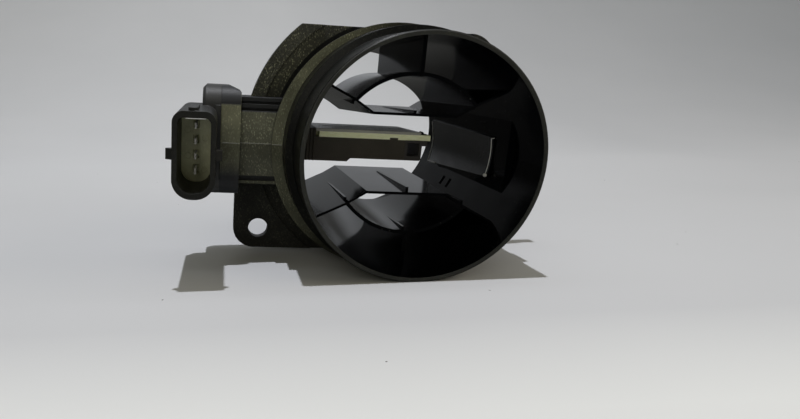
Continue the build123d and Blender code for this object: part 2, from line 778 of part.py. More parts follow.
with BuildPart() as control_chip:
    with Locations((control_x, beam_y, board_z - control_t / 2)):
        Box(control_size, control_size, control_t)
    chamfer(control_chip.faces().sort_by(Axis.Z)[0].edges(), length=0.3)
control_chip.part.label = "control_chip"
export_step(control_chip.part, "parts/control_chip.step")

capacitors = []
for k in range(2):
    with BuildPart() as capacitor:
        with Locations((capacitor_x, beam_y + capacitor_pitch * (k - 0.5), board_z - capacitor_t / 2)):
            Box(capacitor_l, capacitor_w, capacitor_t)
    capacitor.part.label = f"capacitor_{k + 1}"
    export_step(capacitor.part, f"parts/capacitor_{k + 1}.step")
    capacitors.append(capacitor.part)

# soft gel that covers the chip and the capacitors in the pocket
with BuildPart() as chip_gel:
    with Locations(((pocket_x0 + pocket_x1) / 2, beam_y, board_z - gel_t / 2)):
        Box(
            pocket_x1 - pocket_x0 - 2 * gel_margin,
            beam_back - beam_front - 2 * pocket_rim - 2 * gel_margin,
            gel_t,
        )
    add(control_chip.part, mode=Mode.SUBTRACT)
    for body in capacitors:
        add(body, mode=Mode.SUBTRACT)
chip_gel.part.label = "chip_gel"
export_step(chip_gel.part, "parts/chip_gel.step")

# ------------------------------------------------------------------ seals
with BuildPart() as module_seal:
    seal_gap = 0.1
    with BuildSketch(side_plane(boss_end + module_seal_x + seal_gap)):
        with Locations((plug_y, 0)):
            RectangleRounded(plug_l + plug_gap, plug_h + plug_gap, plug_corner)
            RectangleRounded(
                plug_l - 2 * module_seal_depth + 2 * seal_gap,
                plug_h - 2 * module_seal_depth + 2 * seal_gap,
                plug_corner - module_seal_depth / 2,
                mode=Mode.SUBTRACT,
            )
    extrude(amount=module_seal_w - 2 * seal_gap)
module_seal.part.label = "module_seal"
export_step(module_seal.part, "parts/module_seal.step")

with BuildPart() as rear_seal:
    seal_r = (seal_section - 0.3) / 2
    with BuildSketch(Plane.XY):
        with Locations((seal_floor_r + 0.15 + seal_r, seal_y + seal_section / 2)):
            RegularPolygon(seal_r, 6)
    revolve(axis=Axis.Y)
rear_seal.part.label = "rear_seal"
export_step(rear_seal.part, "parts/rear_seal.step")

# ------------------------------------------------------------------ module screws
for name, z in (("module_screw_upper", screw_z), ("module_screw_lower", -screw_z)):
    with BuildPart() as screw:
        with Locations(side_plane(cap_end)):
            with Locations((screw_y, z, screw_head_t)):
                Cylinder(
                    screw_d / 2 - 0.15,
                    screw_length - screw_head_t,
                    align=(Align.CENTER, Align.CENTER, Align.MIN),
                )
            with Locations((screw_y, z, screw_head_t)):
                Cylinder(
                    screw_head_d / 2 - 0.3,
                    screw_head_t - 0.3,
                    align=(Align.CENTER, Align.CENTER, Align.MAX),
                )
            with Locations((screw_y, z, 0.3)):
                Cylinder(
                    screw_drive_d / 2,
                    screw_drive_depth,
                    align=(Align.CENTER, Align.CENTER, Align.MIN),
                    mode=Mode.SUBTRACT,
                )
    screw.part.label = name
    export_step(screw.part, f"parts/{name}.step")
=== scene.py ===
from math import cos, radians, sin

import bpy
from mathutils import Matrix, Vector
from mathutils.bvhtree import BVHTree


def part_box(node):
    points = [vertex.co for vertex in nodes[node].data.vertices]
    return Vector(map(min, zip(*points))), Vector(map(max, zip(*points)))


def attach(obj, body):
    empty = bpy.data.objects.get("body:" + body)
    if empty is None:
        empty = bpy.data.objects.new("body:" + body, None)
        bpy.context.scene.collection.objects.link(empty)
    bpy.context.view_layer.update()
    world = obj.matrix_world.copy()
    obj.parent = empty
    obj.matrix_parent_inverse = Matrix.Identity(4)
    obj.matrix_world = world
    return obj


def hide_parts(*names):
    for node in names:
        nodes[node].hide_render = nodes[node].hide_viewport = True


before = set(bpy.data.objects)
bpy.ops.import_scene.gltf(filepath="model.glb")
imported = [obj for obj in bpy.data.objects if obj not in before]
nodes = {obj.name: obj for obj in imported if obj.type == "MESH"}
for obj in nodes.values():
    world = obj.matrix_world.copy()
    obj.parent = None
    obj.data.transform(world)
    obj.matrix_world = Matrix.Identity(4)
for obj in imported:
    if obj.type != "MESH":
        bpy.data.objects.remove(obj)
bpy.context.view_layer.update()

# %% [markdown]
# # Mass air flow sensor
# This notebook dresses a moulded air duct with a plug-in flow sensor. The solids are already in place, in
# metres: the duct's axis is Y, the open spigot points to -Y, the sensor comes in from -X, and Z is up.
# The first cell keeps the solids' own size.

MM = 0.001

# %% [markdown]
# ## The main sizes
# Every piece that follows is placed from the solids, so the sizes are read from their boxes where a box
# gives them. The rest are written once here, in metres: the duct's radii, and where the pad, the collar, the
# neck's boss and the connector's middle lie.

# %% Name the sizes
duct_low, duct_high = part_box("duct_housing")
rim_y, rear_y = duct_low.y, duct_high.y
spigot_r = 40 * MM
bore_front_r, bore_rear_r = 38.4 * MM, 36 * MM
bore_taper = (bore_front_r - bore_rear_r) / (rear_y - rim_y)
barrel_r = 41.6 * MM
pad_level = 2.4 * MM  # above the bore's wall, between the flat land and the pad's face
collar_front_y = -20.6 * MM
boss_x = -57.4 * MM
shell_x = -72.0 * MM
print("duct length", round(rear_y - rim_y, 4))

# %% [markdown]
# ## Camera
# A fairly wide lens close to the object gives the duct its strong perspective. The horizontal shift keeps
# the object left of the middle of the frame without turning the camera.

# %% Make the camera
camera = bpy.data.objects.new("camera", bpy.data.cameras.new("camera"))
bpy.context.scene.collection.objects.link(camera)
camera.data.lens = 26.16
camera.data.sensor_width = 36.0
camera.data.shift_x = 0.155
camera.location = (-63.87 * MM, -222.16 * MM, 26.03 * MM)
camera.rotation_euler = (radians(76.37), radians(-3.0), radians(-5.01))
bpy.context.scene.camera = camera
print("camera lens", camera.data.lens)

# %% [markdown]
# ## Node helpers
# Shader trees and geometry trees are built from the same small call: it adds one node, sets its plain
# values, and links any socket that is handed in. Trees then read almost like formulas. The other calls wrap
# the nodes that come up most.


# %% Add one node to a tree
def add_node(tree, kind, sockets=None, **settings):
    node = tree.nodes.new(kind)
    for name, value in settings.items():
        setattr(node, name, value)
    for key, value in (sockets or {}).items():
        socket = node.inputs[key]
        if isinstance(value, bpy.types.NodeSocket):
            tree.links.new(value, socket)
        else:
            socket.default_value = value
    return node


def math(tree, operation, a, b=0.0, clamp=False):
    node = add_node(tree, "ShaderNodeMath", {0: a, 1: b}, operation=operation, use_clamp=clamp)
    return node.outputs[0]


def product(tree, first, *others):
    for other in others:
        first = math(tree, "MULTIPLY", first, other)
    return first


def ramp(tree, value, low, high, start=0.0, end=1.0):
    """Goes from start at low to end at high, and stays level beyond both."""
    values = {"Value": value, 1: low, 2: high, 3: start, 4: end}
    return add_node(tree, "ShaderNodeMapRange", values).outputs[0]


def object_place(tree):
    return add_node(tree, "ShaderNodeTexCoord").outputs["Object"]


def scaled(tree, place, scale):
    return add_node(tree, "ShaderNodeMapping", {"Vector": place, "Scale": scale}).outputs[0]


def noise(tree, place, scale, detail):
    values = {"Vector": place, "Scale": scale, "Detail": detail}
    return add_node(tree, "ShaderNodeTexNoise", values).outputs[0]


def blend_colour(tree, factor, a, b, mode="MIX"):
    node = add_node(tree, "ShaderNodeMix", {"Factor": factor}, data_type="RGBA", blend_type=mode)
    for index, value in ((6, a), (7, b)):
        if isinstance(value, bpy.types.NodeSocket):
            tree.links.new(value, node.inputs[index])
        else:
            node.inputs[index].default_value = (*value, 1.0)
    return node.outputs[2]


def new_group(name, inputs, outputs):
    """A shader group whose sockets are (name, kind, default) and (name, kind)."""
    tree = bpy.data.node_groups.new(name, "ShaderNodeTree")
    for socket_name, kind, default in inputs:
        socket = tree.interface.new_socket(socket_name, in_out="INPUT", socket_type=kind)
        socket.default_value = default
    for socket_name, kind in outputs:
        tree.interface.new_socket(socket_name, in_out="OUTPUT", socket_type=kind)
    start = tree.nodes.new("NodeGroupInput")
    end = tree.nodes.new("NodeGroupOutput")
    return tree, start.outputs, end.inputs


FLOAT, COLOUR = "NodeSocketFloat", "NodeSocketColor"

# %% [markdown]
# ## Glass-filled nylon
# The duct is moulded in black nylon with short glass fibres. Fibres near the surface catch the light as
# tiny pale flecks, and the surface between them is slightly grainy. One group makes that for every moulded
# piece that isn't polished: stretched Voronoi cells are the flecks, and two noises the mottling and grain.

# %% Build the nylon group
nylon, n_in, n_out = new_group(
    "glass_filled_nylon",
    (
        ("Colour", COLOUR, (0.02, 0.02, 0.018, 1)),
        ("Fleck Colour", COLOUR, (0.3, 0.32, 0.2, 1)),
        ("Flecks", FLOAT, 0.5),
        ("Fleck Scale", FLOAT, 2100.0),
        ("Mottle", FLOAT, 0.4),
        ("Roughness", FLOAT, 0.5),
        ("Grain", FLOAT, 1.0),
    ),
    (("Colour", COLOUR), ("Roughness", FLOAT), ("Height", FLOAT)),
)
place = object_place(nylon)
stretched = scaled(nylon, place, (1, 1, 0.55))
cells = add_node(nylon, "ShaderNodeTexVoronoi", {"Vector": stretched, "Scale": n_in["Fleck Scale"]})
pick = add_node(nylon, "ShaderNodeSeparateColor", {"Color": cells.outputs["Color"]}).outputs[0]
near = ramp(nylon, cells.outputs["Distance"], 0.16, 0.55, 1.0, 0.0)
chosen = ramp(nylon, pick, 0.3, 0.95)
cloudy = ramp(nylon, noise(nylon, place, 90.0, 4.0), 0.35, 0.65, 0.25, 1.0)
fleck = product(nylon, near, chosen, cloudy)
fleck_mask = math(nylon, "MULTIPLY", fleck, n_in["Flecks"], clamp=True)
grain = noise(nylon, place, 2600.0, 3.0)
darker = blend_colour(nylon, n_in["Mottle"], (1, 1, 1), (0.35, 0.35, 0.33))
mottled = blend_colour(nylon, cloudy, darker, (1, 1, 1))
base = blend_colour(nylon, 1.0, n_in["Colour"], mottled, "MULTIPLY")
nylon.links.new(blend_colour(nylon, fleck_mask, base, n_in["Fleck Colour"]), n_out["Colour"])
rough_grain = math(nylon, "MULTIPLY", math(nylon, "SUBTRACT", grain, 0.5), 0.35)
nylon.links.new(math(nylon, "ADD", n_in["Roughness"], rough_grain, clamp=True), n_out["Roughness"])
raised = math(nylon, "ADD", grain, math(nylon, "MULTIPLY", fleck, 0.6))
nylon.links.new(math(nylon, "MULTIPLY", raised, n_in["Grain"]), n_out["Height"])
print("nylon group nodes", len(nylon.nodes))

# %% [markdown]
# ## Polished mould faces
# The bore and the vanes come from polished steel, so they are much smoother than the outside. What is
# left are faint flow lines and a little dust, which this group gives as colour, roughness and height.

# %% Build the polished group
polished, p_in, p_out = new_group(
    "polished_moulding",
    (
        ("Colour", COLOUR, (0.01, 0.012, 0.016, 1)),
        ("Roughness", FLOAT, 0.2),
        ("Dust", FLOAT, 0.1),
        ("Waves", FLOAT, 1.0),
    ),
    (("Colour", COLOUR), ("Roughness", FLOAT), ("Height", FLOAT)),
)
place = object_place(polished)
flow = noise(polished, scaled(polished, place, (1, 0.15, 1)), 160.0, 3.0)
specks = add_node(polished, "ShaderNodeTexVoronoi", {"Vector": place, "Scale": 420.0}).outputs["Distance"]
dots = ramp(polished, specks, 0.05, 0.12, 1.0, 0.0)
haze = noise(polished, place, 45.0, 5.0)
dust = math(polished, "MULTIPLY", math(polished, "MULTIPLY", dots, haze), p_in["Dust"], clamp=True)
polished.links.new(blend_colour(polished, dust, p_in["Colour"], (0.25, 0.25, 0.24)), p_out["Colour"])
wander = math(polished, "MULTIPLY", math(polished, "SUBTRACT", haze, 0.5), 0.12)
polished.links.new(math(polished, "ADD", p_in["Roughness"], wander, clamp=True), p_out["Roughness"])
polished.links.new(math(polished, "MULTIPLY", flow, p_in["Waves"]), p_out["Height"])
print("polished group nodes", len(polished.nodes))

# %% [markdown]
# ## From a group to a material
# The Principled shader stays in each material. A Bevel node rounds the shading at sharp edges by a few
# tenths of a millimetre, so every moulded edge catches a thin line of light as a real one does.


# %% Make a moulded material
def start_material(name):
    material = bpy.data.materials.new(name)
    material.use_nodes = True
    tree = material.node_tree
    return material, tree, tree.nodes["Principled BSDF"]


def place_group(tree, group, values):
    node = tree.nodes.new("ShaderNodeGroup")
    node.node_tree = group
    for key, value in values.items():
        if isinstance(value, bpy.types.NodeSocket):
            tree.links.new(value, node.inputs[key])
        else:
            node.inputs[key].default_value = (*value, 1.0) if isinstance(value, tuple) else value
    return node.outputs


def shade(tree, shader, outputs, bump, edge_radius):
    """Feeds a group's outputs to the shader, with its height as a bump over rounded edges."""
    tree.links.new(outputs["Colour"], shader.inputs["Base Color"])
    tree.links.new(outputs["Roughness"], shader.inputs["Roughness"])
    rounded = add_node(tree, "ShaderNodeBevel", {"Radius": edge_radius}, samples=6).outputs[0]
    relief = add_node(
        tree,
        "ShaderNodeBump",
        {"Height": outputs["Height"], "Strength": bump, "Distance": 0.1 * MM, "Normal": rounded},
    )
    tree.links.new(relief.outputs[0], shader.inputs["Normal"])


def nylon_material(name, colour, fleck, flecks=0.5, scale=1500.0, mottle=0.4, rough=0.5, bump=0.5, edge=0.35):
    material, tree, shader = start_material(name)
    values = {"Colour": colour, "Fleck Colour": fleck, "Flecks": flecks, "Fleck Scale": scale}
    values |= {"Mottle": mottle, "Roughness": rough}
    shade(tree, shader, place_group(tree, nylon, values), bump, edge * MM)
    return material


def polished_material(name, colour, rough=0.2, dust=0.3, bump=0.15, edge=0.25, specular=0.5):
    material, tree, shader = start_material(name)
    values = {"Colour": colour, "Roughness": rough, "Dust": dust}
    shade(tree, shader, place_group(tree, polished, values), bump, edge * MM)
    shader.inputs["Specular IOR Level"].default_value = specular
    return material


# %% [markdown]
# ## One housing, three finishes
# The duct is polished in its bore, smooth outside, where hoses and seals sit, and textured on the collar's
# front. Two masks tell the zones apart by object coordinates: the bore narrows evenly along Y, so its limit
# follows it a little way into the wall, and the collar's front is a slice along Y.


# %% Build the zone masks
def split_place(tree):
    """Object coordinates, one output for each axis."""
    return add_node(tree, "ShaderNodeSeparateXYZ", {"Vector": object_place(tree)}).outputs


def axis_distance(tree, x, z):
    """How far a point lies from the duct's axis."""
    across = add_node(tree, "ShaderNodeCombineXYZ", {"X": x, "Z": z}).outputs[0]
    return add_node(tree, "ShaderNodeVectorMath", {0: across}, operation="LENGTH").outputs["Value"]


bore_mask, b_in, b_out = new_group(
    "inside_the_bore",
    (("Front Radius", FLOAT, bore_front_r), ("Taper", FLOAT, bore_taper), ("Front", FLOAT, rim_y)),
    (("Mask", FLOAT),),
)
into_wall = 0.6 * MM
x, y, z = split_place(bore_mask)
depth = math(bore_mask, "SUBTRACT", y, b_in["Front"])
limit = math(bore_mask, "SUBTRACT", b_in["Front Radius"], math(bore_mask, "MULTIPLY", depth, b_in["Taper"]))
limit = math(bore_mask, "ADD", limit, into_wall)
margin = math(bore_mask, "SUBTRACT", limit, axis_distance(bore_mask, x, z))
bore_mask.links.new(ramp(bore_mask, margin, -0.1 * MM, 0.1 * MM), b_out["Mask"])

slice_mask, s_in, s_out = new_group(
    "textured_zone",
    (("Low", FLOAT, 0.0), ("High", FLOAT, 0.0), ("Radius", FLOAT, 0.0)),
    (("Mask", FLOAT),),
)
x, y, z = split_place(slice_mask)
above = math(slice_mask, "GREATER_THAN", y, s_in["Low"])
below = math(slice_mask, "LESS_THAN", y, s_in["High"])
outside = math(slice_mask, "GREATER_THAN", axis_distance(slice_mask, x, z), s_in["Radius"])
slice_mask.links.new(product(slice_mask, above, below, outside), s_out["Mask"])
print("mask nodes", len(bore_mask.nodes), len(slice_mask.nodes))

# %% [markdown]
# The mould's two halves meet on a level line near the axis. The texture and its flecks are stronger above it.
# They are also given painted shade: they darken and thin out downwards and to the right, where less light
# falls. This group gives all of that as one factor.

# %% Build the fade of painted shade
shade_fade, f_in, f_out = new_group(
    "painted_shade_fade",
    (
        ("Parting", FLOAT, 0.2 * MM),
        ("Lower Half", FLOAT, 0.62),
        ("Low", FLOAT, -34 * MM),
        ("High", FLOAT, 26 * MM),
    ),
    (("Factor", FLOAT),),
)
x, y, z = split_place(shade_fade)
# painted light towards the top, painted shade to the right, then the step at the parting line
painted_light_upward = ramp(shade_fade, z, f_in["Low"], f_in["High"], 0.3, 1.0)
painted_shade_right = math(shade_fade, "MULTIPLY", ramp(shade_fade, x, -36 * MM, -6 * MM), 0.85)
parted = ramp(shade_fade, math(shade_fade, "SUBTRACT", z, f_in["Parting"]), 0.0, 0.15 * MM, f_in["Lower Half"], 1.0)
factor = product(shade_fade, painted_light_upward, math(shade_fade, "SUBTRACT", 1.0, painted_shade_right), parted)
shade_fade.links.new(factor, f_out["Factor"])
print("fade nodes", len(shade_fade.nodes))

# %% Make the duct's material
OLIVE_FLECK = (0.62, 0.63, 0.4)
# The textured colours are paler than black nylon: partly the etched grain's own grey, partly a painted sheen.
TEXTURED = (0.23, 0.235, 0.155)
SMOOTH = (0.005, 0.0053, 0.0042)
BORE = (0.0012, 0.0015, 0.0021)
PAD_PAINTED_LIGHT = (0.03, 0.031, 0.034)


def mix_outputs(tree, mask, a, b):
    """Blends two groups' outputs socket by socket."""
    mixed = {"Colour": blend_colour(tree, mask, a["Colour"], b["Colour"])}
    for key in ("Roughness", "Height"):
        node = add_node(tree, "ShaderNodeMix", {0: mask, 2: a[key], 3: b[key]}, data_type="FLOAT")
        mixed[key] = node.outputs[0]
    return mixed


def textured_side(tree, texture, flecks):
    """Etched nylon whose colour and flecks follow the fade, with its painted shade."""
    factor = place_group(tree, shade_fade, {})["Factor"]
    # the fully shaded texture, which the fade's painted shade blends towards
    painted_shade_colour = blend_colour(tree, 0.88, texture, (0.0, 0.0, 0.0))
    values = {"Colour": blend_colour(tree, factor, painted_shade_colour, texture), "Fleck Colour": OLIVE_FLECK}
    values["Flecks"] = math(tree, "MULTIPLY", factor, flecks)
    values |= {"Mottle": 0.8, "Roughness": 0.6, "Grain": 6.0}
    return place_group(tree, nylon, values)


def bore_side(tree, shader, result):
    """Polishes the bore, less glossy on the right, with painted light on its pad, and sets off the spigot's
    rim.
    """
    x, y, z = split_place(tree)
    right = ramp(tree, x, 10 * MM, 22 * MM)
    drop = math(tree, "MULTIPLY", math(tree, "SUBTRACT", y, rim_y), bore_taper)
    pad_limit = math(tree, "SUBTRACT", bore_front_r - pad_level, drop)
    raised = math(tree, "LESS_THAN", axis_distance(tree, x, z), pad_limit)
    raised = math(tree, "MULTIPLY", raised, right)
    # painted light: the pad is made paler than the bore round it
    face = blend_colour(tree, raised, BORE, PAD_PAINTED_LIGHT)
    inner = place_group(tree, polished, {"Colour": face, "Roughness": 0.13, "Dust": 0.25})
    result = mix_outputs(tree, place_group(tree, bore_mask, {})["Mask"], result, inner)
    rim = place_group(tree, nylon, {"Colour": (0.035, 0.036, 0.033), "Flecks": 0.1, "Roughness": 0.45})
    result = mix_outputs(tree, ramp(tree, y, rim_y + 0.35 * MM, rim_y + 0.25 * MM), result, rim)
    shine = math(tree, "SUBTRACT", 0.2, math(tree, "MULTIPLY", right, 0.14))
    shine = math(tree, "ADD", shine, math(tree, "MULTIPLY", raised, 0.26))
    tree.links.new(shine, shader.inputs["Specular IOR Level"])
    return result


def zoned_material(name, zone, bore=False, texture=TEXTURED, flecks=0.85):
    """Textured nylon in the zone, smooth nylon elsewhere, and polished nylon in the bore."""
    material, tree, shader = start_material(name)
    values = {"Colour": SMOOTH, "Fleck Colour": OLIVE_FLECK, "Flecks": 0.05, "Roughness": 0.36, "Grain": 0.25}
    smooth_side = place_group(tree, nylon, values)
    mask = place_group(tree, slice_mask, dict(zip(("Low", "High", "Radius"), zone)))["Mask"]
    result = mix_outputs(tree, mask, smooth_side, textured_side(tree, texture, flecks))
    if bore:
        result = bore_side(tree, shader, result)
    shade(tree, shader, result, 0.6, 0.35 * MM)
    return material


# a zone runs along Y from its front to its back, outside a radius
collar_zone = (collar_front_y - 0.2 * MM, collar_front_y + 0.12 * MM, barrel_r + 0.9 * MM)
flange_zone = (-1.0, -3.1 * MM, 45.6 * MM)
duct = zoned_material("duct_nylon", collar_zone, bore=True)
flange = zoned_material("flange_nylon", flange_zone, texture=(0.06, 0.061, 0.04), flecks=0.7)


# %% [markdown]
# The neck is textured on its front. Its ridges, the upper edge and foot of its boss and all that lies behind
# the front face are plain and a little cooler. The module is one dark moulding: darkest in the connector's
# shell, paler towards the cap plate, where the paleness is painted light, and browner along the beam, which
# runs from there into the bore.


# %% Make the neck's and the module's materials
def neck_material():
    material, tree, shader = start_material("neck_nylon")
    x, y, z = split_place(tree)
    on_boss = ramp(tree, x, boss_x + 0.1 * MM, boss_x - 0.1 * MM)
    on_neck = ramp(tree, x, boss_x - 0.1 * MM, boss_x + 0.1 * MM)
    past_seam = ramp(tree, x, boss_x + 0.2 * MM, boss_x - 0.2 * MM)
    # pale texture colours: partly the etched grain's grey, partly a painted sheen
    texture = blend_colour(tree, on_boss, (0.2, 0.205, 0.135), (0.33, 0.335, 0.21))
    etched = textured_side(tree, texture, 1.0)
    values = {"Colour": (0.028, 0.03, 0.033), "Flecks": 0.03, "Mottle": 0.6, "Roughness": 0.55, "Grain": 0.5}
    plain = place_group(tree, nylon, values)
    boss_edge = math(tree, "MULTIPLY", ramp(tree, z, 13.0 * MM, 13.6 * MM), past_seam)
    ridges = math(tree, "MULTIPLY", ramp(tree, z, 10.9 * MM, 11.2 * MM), on_neck)
    boss_foot = math(tree, "MULTIPLY", ramp(tree, z, -6.5 * MM, -11.5 * MM), on_boss)
    mask = ramp(tree, y, -18.2 * MM, -17.8 * MM)
    for zone in (boss_edge, ridges, boss_foot):
        mask = math(tree, "MAXIMUM", mask, zone)
    shade(tree, shader, mix_outputs(tree, mask, etched, plain), 0.6, 0.35 * MM)
    return material


def module_material():
    material, tree, shader = start_material("module_nylon")
    tones = (
        {"Colour": (0.014, 0.0145, 0.013), "Flecks": 0.08, "Roughness": 0.42, "Grain": 0.6},
        # painted light: the cap plate's tone is paler than the shell's
        {"Colour": (0.05, 0.051, 0.051), "Flecks": 0.06, "Mottle": 0.6, "Roughness": 0.55, "Grain": 0.6},
        {"Colour": (0.058, 0.048, 0.032), "Flecks": 0.05, "Roughness": 0.5, "Grain": 1.5},
    )
    shell, cap_painted_light, beam = (place_group(tree, nylon, values) for values in tones)
    x, y, z = split_place(tree)
    outside = mix_outputs(tree, ramp(tree, y, -30.0 * MM, -21.2 * MM), shell, cap_painted_light)
    inside = ramp(tree, x, -58 * MM, -57 * MM)
    shade(tree, shader, mix_outputs(tree, inside, outside, beam), 0.5, 0.35 * MM)
    return material


neck = neck_material()
module = module_material()
# painted light: the terminal carrier is made far paler than its dark nylon, for light reaching into the
# connector
carrier_painted_light = nylon_material("carrier_nylon_painted_light", (0.72, 0.73, 0.47), (0.85, 0.86, 0.62), 0.5, 1200.0, 0.8, 0.6, 0.5)
guide = polished_material("guide_nylon", BORE, 0.12, specular=0.15)
print("moulded materials", 6)

# %% [markdown]
# ## The sensor's own materials
# The board is glass-fibre laminate whose cut edge shows pale green layers, made paler still by painted light.
# Its cover is a duller moulding, painted pale with the light that falls on its top from behind, and the seals
# are rubber with a soft bloom. The contacts are tinned bronze, made as a near-white paint with little
# metallic shine: their paleness inside the dark shell is a painted highlight.


# %% Make the laminate
def add_relief(tree, shader, height, strength):
    bump = add_node(tree, "ShaderNodeBump", {"Height": height, "Strength": strength, "Distance": 0.05 * MM})
    tree.links.new(bump.outputs[0], shader.inputs["Normal"])


def laminate_material():
    material, tree, shader = start_material("board_laminate_painted_light")
    weave = noise(tree, scaled(tree, object_place(tree), (1, 1, 14)), 420.0, 3.0)
    # painted light: the laminate's pale green is pushed nearly to white
    colour = blend_colour(tree, ramp(tree, weave, 0.35, 0.65), (0.8, 0.83, 0.46), (0.95, 0.97, 0.68))
    tree.links.new(colour, shader.inputs["Base Color"])
    shader.inputs["Roughness"].default_value = 0.5
    add_relief(tree, shader, weave, 0.3)
    return material


board = laminate_material()
# painted light: the cover is made pale where light falls on its top from behind
cover = nylon_material("cover_moulding_painted_light", (0.42, 0.41, 0.36), (0.52, 0.5, 0.44), 0.3, 1800.0, 0.4, 0.3, 0.3)
beam_tip = nylon_material("tip_moulding", (0.05, 0.045, 0.04), (0.12, 0.11, 0.1), 0.3, 1800.0, 0.4, 0.45, 0.4)
rubber = nylon_material("seal_rubber", (0.012, 0.012, 0.013), (0.06, 0.06, 0.06), 0.2, 900.0, 0.3, 0.6, 0.3)


# %% Make the metals and the chip finishes
def metal_material(name, colour, rough, stretch, metallic=1.0):
    material, tree, shader = start_material(name)
    streaks = noise(tree, scaled(tree, object_place(tree), stretch), 1800.0, 4.0)
    tint = blend_colour(tree, streaks, tuple(0.75 * c for c in colour), colour)
    tree.links.new(tint, shader.inputs["Base Color"])
    shader.inputs["Metallic"].default_value = metallic
    uneven = ramp(tree, streaks, 0.0, 1.0, rough - 0.08, rough + 0.12)
    tree.links.new(uneven, shader.inputs["Roughness"])
    add_relief(tree, shader, streaks, 0.15)
    return material


# painted highlight: the contacts are a near-white matt paint, so they stay pale in the shell
tin_painted_highlight = metal_material("tinned_bronze_painted_highlight", (1.0, 0.99, 0.96), 0.36, (1, 0.1, 1), metallic=0.1)
zinc = metal_material("zinc_plated_steel", (0.6, 0.61, 0.6), 0.32, (0.2, 1, 1))
chip = polished_material("chip_glass", (0.06, 0.07, 0.1), 0.1)
epoxy = nylon_material("chip_epoxy", (0.012, 0.012, 0.012), (0.06, 0.06, 0.06), 0.3, 2500.0, 0.2, 0.5, 0.4)
ceramic = polished_material("capacitor_ceramic", (0.42, 0.32, 0.2), 0.35)
gel = polished_material("chip_gel", (0.35, 0.36, 0.34), 0.08)
bead = polished_material("bead_coating", (0.03, 0.028, 0.026), 0.25)

# %% Give every solid its material
finishes = {
    "duct_housing": duct,
    "mounting_flange": flange,
    "sensor_neck": neck,
    "flow_guide_upper": guide,
    "flow_guide_lower": guide,
    "module_housing": module,
    "channel_tip": beam_tip,
    "circuit_board": board,
    "board_cover": cover,
    "hot_film_chip": chip,
    "air_temperature_sensor": bead,
    "control_chip": epoxy,
    "capacitor_1": ceramic,
    "capacitor_2": ceramic,
    "chip_gel": gel,
    "terminal_carrier": carrier_painted_light,
    "module_seal": rubber,
    "rear_seal": rubber,
    "module_screw_upper": zinc,
    "module_screw_lower": zinc,
}
finishes |= {f"terminal_{k}": tin_painted_highlight for k in range(1, 5)}
for name, material in finishes.items():
    nodes[name].material_slots[0].material = material
print("finished solids", len(finishes), "without a finish", sorted(set(nodes) - set(finishes)))

# %% [markdown]
# ## Pieces finer than the solids
# Some things are too fine for the solids: the flash on the seal, the screws' drives and threads, the round
# marks of ejector pins, and the thin flash where mould halves meet. Each is a mesh of its own. Rings of
# points skinned into a surface make the turned ones, and geometry trees make the marks and the flash.


# %% Build meshes from rings of points
def skin(name, rings, loop=False):
    """Joins rings of equal length, and closes the two ends unless the rings form a loop."""
    count = len(rings[0])
    points = [point for ring in rings for point in ring]
    spans = len(rings) if loop else len(rings) - 1
    faces = []
    for i in range(spans):
        a, b = i * count, (i + 1) % len(rings) * count
        faces += [(a + k, a + (k + 1) % count, b + (k + 1) % count, b + k) for k in range(count)]
    if not loop:
        faces += [tuple(range(count))[::-1], tuple(range(len(points) - count, len(points)))]
    mesh = bpy.data.meshes.new(name)
    mesh.from_pydata(points, [], faces)
    mesh.validate()
    return mesh


def add_piece(name, mesh, material, angle=35):
    """Links a finished mesh as a piece that rides on the part."""
    mesh.materials.clear()
    mesh.materials.append(material)
    mesh.polygons.foreach_set("material_index", [0] * len(mesh.polygons))
    mesh.shade_smooth()
    mesh.set_sharp_from_angle(angle=radians(angle))
    piece = bpy.data.objects.new(name, mesh)
    bpy.context.scene.collection.objects.link(piece)
    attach(piece, "root")
    print(name, "faces", len(mesh.polygons))
    return piece


# %% [markdown]
# The seal is an oval section swept round the groove, with a hair of flash at its outer and inner crests,
# where the rubber mould opened.

# %% Make the seal
seal_low, seal_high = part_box("rear_seal")
groove_r = 39.0 * MM
outer_r = seal_high.z
seal_y = (seal_low.y + seal_high.y) / 2
half_axial = (seal_high.y - seal_low.y) / 2
flash = 0.12 * MM
half_radial = (outer_r - groove_r) / 2 - flash
ring_count, point_count = 160, 28
rings = []
for i in range(ring_count):
    turn = radians(360 * i / ring_count)
    ring = []
    for k in range(point_count):
        around = radians(360 * k / point_count)
        crest = flash if k in (0, point_count // 2) else 0.0
        r = (outer_r + groove_r) / 2 + (half_radial + crest) * cos(around)
        ring.append((r * cos(turn), seal_y + half_axial * sin(around), r * sin(turn)))
    rings.append(ring)
seal = add_piece("seal_ring", skin("seal_ring", rings, loop=True), rubber, angle=60)
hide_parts("rear_seal")


# %% [markdown]
# Each screw is one skin: the six-lobed drive's floor and walls, the domed head, the washer face, and a
# thread whose crest climbs as it goes round.

# %% Make the module's screws
drive_r, lobe_height = 1.3 * MM, 0.22 * MM


def lobes(angle):
    return drive_r + lobe_height * cos(6 * angle)


